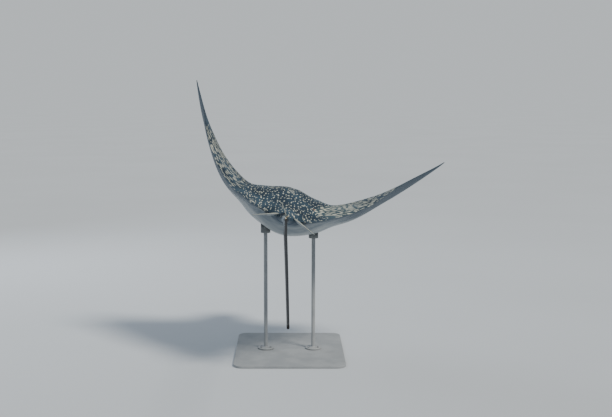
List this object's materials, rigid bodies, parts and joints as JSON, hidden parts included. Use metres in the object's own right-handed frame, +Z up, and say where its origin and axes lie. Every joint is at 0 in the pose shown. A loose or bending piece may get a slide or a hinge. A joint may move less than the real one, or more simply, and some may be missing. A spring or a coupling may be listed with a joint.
{
  "type": "spotted eagle ray model",
  "caption": "Life-size still model of a spotted eagle ray gliding in a banked turn with raised wings and a long whip tail, on a plain plate-and-rod display stand.",
  "frame": {"origin": "centre of the underside of the stand's base plate, on the floor", "axes": "+Y the way the ray swims and the long way of the plate, +X to its right, +Z up"},
  "size_m": [1.1562, 3.2849, 1.3067],
  "materials": {
    "skin": "smooth satin skin, dark slate blue-grey above with cream-white spots, rings and dashes, off-white below with dusky wing tips, tail nearly black",
    "spine": "pale bone, finely toothed edges",
    "eye": "wet gloss, dark iris",
    "stand_metal": "fine-textured satin pale grey powder coat; zinc-plated cap screws",
    "stand_pad": "matte grey rubber"
  },
  "bodies": {
    "root": {"snout": "skin", "head": "skin", "trunk": "skin", "pectoral_fin_left": "skin", "pectoral_fin_right": "skin", "pelvic_fin_left": "skin", "pelvic_fin_right": "skin", "dorsal_fin": "skin", "tail_base": "skin", "tail_mid": "skin", "tail_rear": "skin", "tail_tip": "skin", "tail_spine_lower": "spine", "tail_spine_upper": "spine", "eye_left": "eye", "eye_right": "eye", "stand_base": "stand_metal", "stand_rod_left": "stand_metal", "stand_rod_right": "stand_metal", "stand_pad_left": "stand_pad", "stand_pad_right": "stand_pad"}
  },
  "joints": []
}
